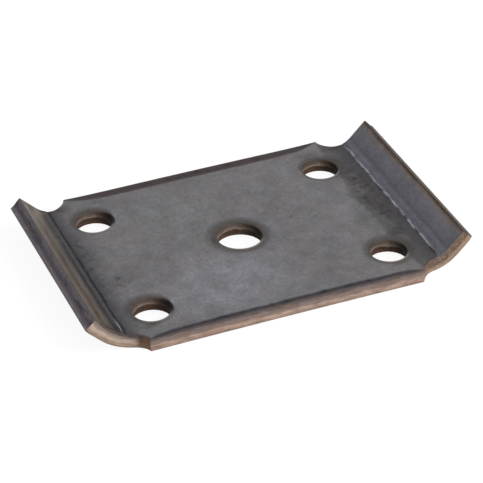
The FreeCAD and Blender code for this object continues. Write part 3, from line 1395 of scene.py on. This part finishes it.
        return painted(tree, colour, [
            (values["rim_part"], "#5a4c43"),
            # Painted shade on the right rims of the left holes
            (values["painted_shade_part"], "#120d0c"),
            # Painted highlight on the front rims
            (values["front_rim_highlight_part"], "#9a908a"),
            (values["edge_part"], "#4d4340"),
            (values["rust_part"], "#6e5747"),
            # Wear and painted highlight along the raised press lip
            (values["wear_and_sheen_part"], "#a9a8ae"),
        ])


@dataclass(frozen=True)
class ShearedEdge(SteelFinish):
    """Sheared steel with light rust: a smooth cut band above, a torn tan-grey band below."""

    name: str = "sheared_steel_light_rust"
    metallic: float = 0.3
    roughness: tuple[float, float] = (0.5, 0.7)
    bump_height: float = 0.08
    long_edge_y: float = 47.0
    end_x: float = 72.0
    tooth_x: float = 55.2
    reads: tuple[str, ...] = ("cut_depth",)
    grains: tuple[tuple[str, Grain], ...] = (
        ("mottle", Grain(2.2, 2.2, 0.7, 4.0)),
        ("pits", Grain(0.8, 0.8, 0.35, 4.0)),
        ("streaks", Grain(6, 6, 0.5)),
        ("patches", Grain(8, 8, 2.6, 4.0, 0.44, 0.6)),
        ("lines", Grain(14, 14, 0.4, 4.0, 0.38, 0.62)),
        ("specks", Grain(1.0, 1.0, 0.8, 3.0, 0.5, 0.62)),
        ("rust", Grain(5, 5, 2.5, 4.0, 0.5, 0.64)),
        ("grime", Grain(4, 4, 2.0, 4.0, 0.52, 0.66)),
    )
    long_edges: Bands = (
        (0.0, "#554c4a"), (0.12, "#7a6e6a"), (0.3, "#8f8079"), (0.46, "#957f74"),
        (0.62, "#c6ac9c"), (0.76, "#b39686"), (1.0, "#988070"),
    )
    # The tooth between a long edge and its notch: rust-brown, with painted shade in the notch's inner
    # corner
    tooth: Bands = (
        (0.0, "#43322a"), (0.35, "#4c3326"), (0.6, "#6f503a"), (0.8, "#80634d"), (1.0, "#5f4735"),
    )
    # The pale middle of the left side is partly a painted highlight along the bend
    left_side: Bands = (
        (0.0, "#4d4749"), (0.07, "#69625f"), (0.2, "#92857d"), (0.4, "#a8978c"), (0.6, "#dbc4b3"),
        (0.75, "#bfa693"), (1.0, "#9c8676"),
    )
    right_side: Bands = (
        (0.0, "#575358"), (0.14, "#645d5c"), (0.3, "#69574b"), (0.46, "#624a3a"), (0.6, "#725a48"),
        (0.7, "#937864"), (0.82, "#b0937e"), (1.0, "#9a8170"),
    )
    left_end: Bands = (
        (0.0, "#6a6366"), (0.15, "#605d62"), (0.27, "#57545f"), (0.39, "#444150"), (0.5, "#333145"),
        (0.61, "#464450"), (0.72, "#58555e"), (0.85, "#6e6a74"), (1.0, "#787379"),
    )
    # The right end: dark brown cut steel, darkened further with painted shade
    right_end: Bands = (
        (0.0, "#241c18"), (0.2, "#2a201a"), (0.45, "#34271f"), (0.7, "#48382b"), (1.0, "#48392e"),
    )

    def colour(self, tree: Tree,
               values: Values) -> Socket:
        """Builds the cut's colour from bands through its depth, rust and grime.

        Args:
            tree: the material's node tree.
            values: the named values, to which this adds.

        Returns:
            The colour.
        """
        add_steps(tree, values, [
            ("band_sway", "MULTIPLY_ADD", "streaks", 0.2, -0.1),
            ("band_patch", "MULTIPLY_ADD", "patches", 0.12, -0.06),
            ("depth_swayed", "ADD", "cut_depth", "band_sway"),
            ("depth", "ADD", "depth_swayed", "band_patch"),
            ("s", "ABSOLUTE", "x"),
            ("y_size", "ABSOLUTE", "y"),
            ("is_right", "GREATER_THAN", "x", 0.0),
            ("is_long", "GREATER_THAN", "y_size", self.long_edge_y),
            ("is_right_end", "GREATER_THAN", "x", self.end_x),
            ("is_left_end", "LESS_THAN", "x", -self.end_x),
            # The tooth is darkest on the left, where the notch's wall faces away from the light: painted
            # shade
            ("to_flange", "SUBTRACT", self.tooth_x, "s"),
            ("tooth_share_part", "MULTIPLY_ADD", "to_flange", 0.5, 0.5),
            ("tooth_shade_gain", "MULTIPLY_ADD", "is_right", -0.6, 1.0),
            ("tooth_part", "MULTIPLY", "tooth_share_part", "tooth_shade_gain"),
        ])
        bands = {name: graded(tree, values["depth"], getattr(self, name))
                 for name in ("long_edges", "tooth", "left_side", "right_side", "left_end", "right_end")}
        colour = either(tree, values["is_right"], bands["left_side"], bands["right_side"])
        for share, name in (("tooth_part", "tooth"), ("is_long", "long_edges"),
                            ("is_left_end", "left_end"), ("is_right_end", "right_end")):
            colour = either(tree, values[share], colour, bands[name])
        add_steps(tree, values, [
            ("not_left", "SUBTRACT", 1.0, "is_left_end"),
            ("rust_here", "MULTIPLY", "rust", "not_left"),
            ("rust_part", "MULTIPLY", "rust_here", 0.35),
            ("grime_part", "MULTIPLY", "grime", 0.4),
            ("off_middle", "SUBTRACT", "cut_depth", 0.43),
            ("off_size", "ABSOLUTE", "off_middle"),
            ("middle_part", "MULTIPLY_ADD", "off_size", -3.0, 1.25),
            ("blued_here", "MULTIPLY", "patches", "is_left_end"),
            ("blued", "MULTIPLY", "blued_here", "middle_part"),
            ("blued_part", "MULTIPLY", "blued", 0.8),
            ("not_long", "SUBTRACT", 1.0, "is_long"),
            ("gold_here", "MULTIPLY", "specks", "is_right"),
            ("gold", "MULTIPLY", "gold_here", "not_long"),
            ("not_end", "SUBTRACT", 1.0, "is_right_end"),
            ("gold_side", "MULTIPLY", "gold", "not_end"),
            ("gold_part", "MULTIPLY", "gold_side", 0.35),
            ("light_spots_part", "MULTIPLY", "mottle", 0.18),
            ("pit_part", "MULTIPLY", "pits", 0.22),
            ("line_gain", "MULTIPLY_ADD", "lines", 0.34, 0.83),
        ])
        colour = add_node(tree, "ShaderNodeHueSaturation", {"Value": values["line_gain"], "Color": colour})
        return painted(tree, colour, [
            (values["rust_part"], "#8a6247"),
            (values["grime_part"], "#585052"),
            (values["blued_part"], "#1c182a"),
            (values["gold_part"], "#cba77e"),
            (values["light_spots_part"], "#b5a79e"),
            (values["pit_part"], "#4c4240"),
        ])


@dataclass(frozen=True)
class PunchedWall(SteelFinish):
    """The wall of a punched hole: a smeared grey-brown band, a bright shear step that is partly a painted
    highlight, a rusty tear, and painted shade on its right side.
    """

    name: str = "punched_steel_light_rust"
    metallic: float = 0.3
    specular: float = 0.03
    roughness: tuple[float, float] = (0.45, 0.7)
    bump_height: float = 0.08
    reads: tuple[str, ...] = ("cut_depth",)
    grains: tuple[tuple[str, Grain], ...] = (
        ("mottle", Grain(1.6, 1.6, 0.8, 4.0)),
        ("pits", Grain(0.7, 0.7, 0.4, 4.0)),
        ("patches", Grain(4, 4, 2.5)),
        ("rust", Grain(3.5, 3.5, 1.6, 4.0, 0.48, 0.62)),
    )
    # The bright step at 0.37, over the ridge, is partly burnish and partly a painted highlight
    bands: Bands = (
        (0.0, "#61564f"), (0.1, "#695d55"), (0.22, "#776a60"), (0.3, "#8f8176"),
        (0.37, "#a3958a"), (0.43, "#8b7d73"), (0.49, "#5e4739"), (0.6, "#46322a"),
        (0.8, "#594336"), (1.0, "#5c4638"),
    )

    def colour(self, tree: Tree,
               values: Values) -> Socket:
        """Builds the wall's colour from bands through its depth, and painted shade on its right side.

        Args:
            tree: the material's node tree.
            values: the named values, to which this adds.

        Returns:
            The colour.
        """
        values["side_x"] = split_vector(tree, "hole_side")[1]["X"]
        add_steps(tree, values, [
            ("band_sway", "MULTIPLY_ADD", "patches", 0.16, -0.08),
            ("depth", "ADD", "cut_depth", "band_sway"),
            # Painted shade: the wall goes near black on its right side, which faces away from the light
            ("shade_side_share_part", "MULTIPLY_ADD", "side_x", 1.5, -0.5),
            ("painted_shade_part", "MULTIPLY", "shade_side_share_part", 0.96),
            ("rust_part", "MULTIPLY", "rust", 0.45),
            ("light_part", "MULTIPLY", "mottle", 0.15),
            ("pit_part", "MULTIPLY", "pits", 0.25),
        ])
        return painted(tree, graded(tree, values["depth"], self.bands), [
            (values["rust_part"], "#7a5840"),
            (values["light_part"], "#a39689"),
            (values["pit_part"], "#3c312c"),
            # Painted shade on the wall's right side
            (values["painted_shade_part"], "#0b0706"),
        ])


@dataclass
class Studio:
    """Pale floor, soft light and the camera. Lengths are in millimetres."""

    target: tuple[float, float, float] = (0.5, -1.89, 3.2)
    azimuth: float = -21.724
    elevation: float = 33.683
    roll: float = -1.152
    distance: float = 832.0
    lens: float = 171.158
    sensor_width: float = 36.0
    floor_half: float = 4000.0
    floor_drop: float = 0.02
    # Each lamp's place, size and watts
    lamps: tuple[tuple[str, tuple[float, float, float], float, float], ...] = (
        ("key_lamp", (600, -550, 800), 600, 4.2),
        ("front_lamp", (350, -900, 150), 500, 2.6),
    )

    def camera(self) -> bpy.types.Object:
        """Puts up the camera.

        Returns:
            The camera.
        """
        a, e = math.radians(self.azimuth), math.radians(self.elevation)
        back = Vector((math.sin(a) * math.cos(e), -math.cos(a) * math.cos(e), math.sin(e)))
        data = bpy.data.cameras.new("camera")
        data.lens = self.lens
        data.sensor_width = self.sensor_width
        data.clip_start, data.clip_end = 0.01, 20.0
        camera = add_object("camera", data)
        camera.location = (Vector(self.target) + back * self.distance) * MM
        facing = (-back).to_track_quat("-Z", "Y").to_matrix()
        turn = Matrix.Rotation(math.radians(self.roll), 3, "Z")
        camera.rotation_euler = (facing @ turn).to_euler()
        bpy.context.scene.camera = camera
        return camera

    @staticmethod
    def seen_directly(tree: Tree) -> Values:
        """Adds the nodes that tell when the backdrop itself is seen, also in metal or glass.

        Args:
            tree: the node tree that gets the nodes.

        Returns:
            The named values, of which "shown" is 1 where the backdrop is seen and else 0.
        """
        path = add_node(tree, "ShaderNodeLightPath").node.outputs
        values = {name: path[name] for name in ("Is Camera Ray", "Is Glossy Ray", "Is Transmission Ray")}
        return add_steps(tree, values, [
            ("seen", "MAXIMUM", "Is Camera Ray", "Is Glossy Ray"),
            ("shown", "MAXIMUM", "seen", "Is Transmission Ray"),
        ])

    def floor(self) -> bpy.types.Object:
        """Lays the floor, which holds the plate's shadow.

        Returns:
            The floor.
        """
        h = self.floor_half * MM
        mesh = bpy.data.meshes.new("floor")
        mesh.from_pydata([(-h, -h, 0), (h, -h, 0), (h, h, 0), (-h, h, 0)], [], [(0, 1, 2, 3)])
        floor = add_object("floor", mesh)
        floor.location.z = -self.floor_drop * MM
        material, tree = add_material("floor_paper")
        values = add_steps(tree, self.seen_directly(tree), [("share", "MULTIPLY", "shown", 0.82)])
        paper = add_node(tree, "ShaderNodeBsdfDiffuse", {"Color": linear("#f4f4f4")})
        glow = add_node(tree, "ShaderNodeEmission", {"Color": linear("#ffffff"), "Strength": 1.1})
        mixed = add_node(tree, "ShaderNodeMixShader", {0: values["share"], 1: paper, 2: glow})
        leave = tree.nodes.new("ShaderNodeOutputMaterial")
        tree.links.new(mixed, leave.inputs["Surface"])
        mesh.materials.append(material)
        return floor

    def world(self) -> None:
        """Lights the room evenly, and shows white behind the object."""
        world = bpy.data.worlds.new("studio")
        world.use_nodes = True
        tree = world.node_tree
        tree.nodes.clear()
        values = add_steps(tree, self.seen_directly(tree), [
            ("strength", "MULTIPLY_ADD", "shown", 0.5, 0.5)])
        sky = add_node(tree, "ShaderNodeBackground",
                       {"Color": linear("#ffffff"), "Strength": values["strength"]})
        leave = tree.nodes.new("ShaderNodeOutputWorld")
        tree.links.new(sky, leave.inputs["Surface"])
        bpy.context.scene.world = world

    def lamp(self, name: str, place: tuple[float, float, float], size: float, watts: float) -> None:
        """Puts up a soft square lamp that faces the plate.

        Args:
            name: the lamp's name.
            place: where it hangs.
            size: the length of its sides.
            watts: its power.
        """
        data = bpy.data.lights.new(name, "AREA")
        data.shape = "SQUARE"
        data.size = size * MM
        data.energy = watts
        lamp = add_object(name, data)
        lamp.location = Vector(place) * MM
        lamp.rotation_euler = (-lamp.location).to_track_quat("-Z", "Y").to_euler()

    def build(self) -> None:
        """Puts up the whole studio."""
        bpy.context.scene.view_settings.view_transform = "Standard"
        self.floor()
        self.world()
        for lamp in self.lamps:
            self.lamp(*lamp)
        self.camera()


def main() -> None:
    """Builds the plate and the studio, and notes the sizes."""
    logging.basicConfig(level=logging.INFO, format="%(name)s: %(message)s")
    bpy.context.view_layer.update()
    finishes = {
        Zone.ROLLED: MillScale().material(),
        Zone.SHEARED: ShearedEdge().material(),
        Zone.PUNCHED: PunchedWall().material(),
    }
    TiePlate().build(finishes)
    Studio().build()


if __name__ == "__main__":
    main()
